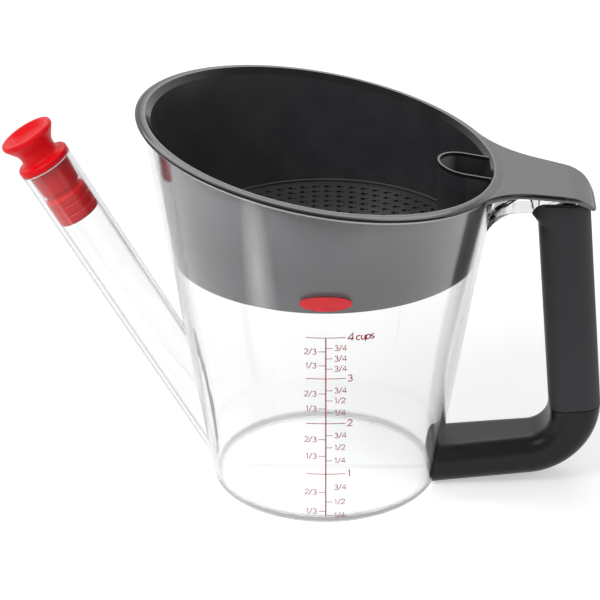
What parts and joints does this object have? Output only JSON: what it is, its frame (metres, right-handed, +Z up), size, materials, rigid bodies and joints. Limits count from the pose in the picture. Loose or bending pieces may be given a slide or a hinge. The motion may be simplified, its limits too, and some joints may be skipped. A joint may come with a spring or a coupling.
{
  "type": "gravy fat separator",
  "caption": "Clear tapered pouring jug with a bottom-fed spout, a red spout stopper, a lift-out black strainer and a soft-grip handle.",
  "frame": {"origin": "centre of the jug's base, on the surface it stands on", "axes": "+Z up, +X towards the handle, -X towards the spout, -Y is the front with the badge"},
  "size_m": [0.2616, 0.1582, 0.1756],
  "materials": {
    "clear_plastic": "clear gloss",
    "black_plastic": "satin",
    "red_silicone": "satin",
    "handle_plastic": "semi-gloss",
    "soft_grip": "matte",
    "badge_red": "gloss"
  },
  "bodies": {
    "jug_body": {"jug": "clear_plastic", "spout_tube": "clear_plastic", "handle_frame": "handle_plastic", "grip_sleeve": "soft_grip", "badge": "badge_red"},
    "strainer": {"strainer_cup": "black_plastic", "strainer_floor": "black_plastic"},
    "stopper": {"stopper": "red_silicone"}
  },
  "joints": [
    {"name": "strainer_lift", "type": "slide", "parent": "jug_body", "child": "strainer", "axis": [0, 0, 1], "range_m": [0, 0.12]},
    {"name": "stopper_pull", "type": "slide", "parent": "jug_body", "child": "stopper", "axis": [-0.5045, 0, 0.8634], "range_m": [0, 0.05]}
  ]
}
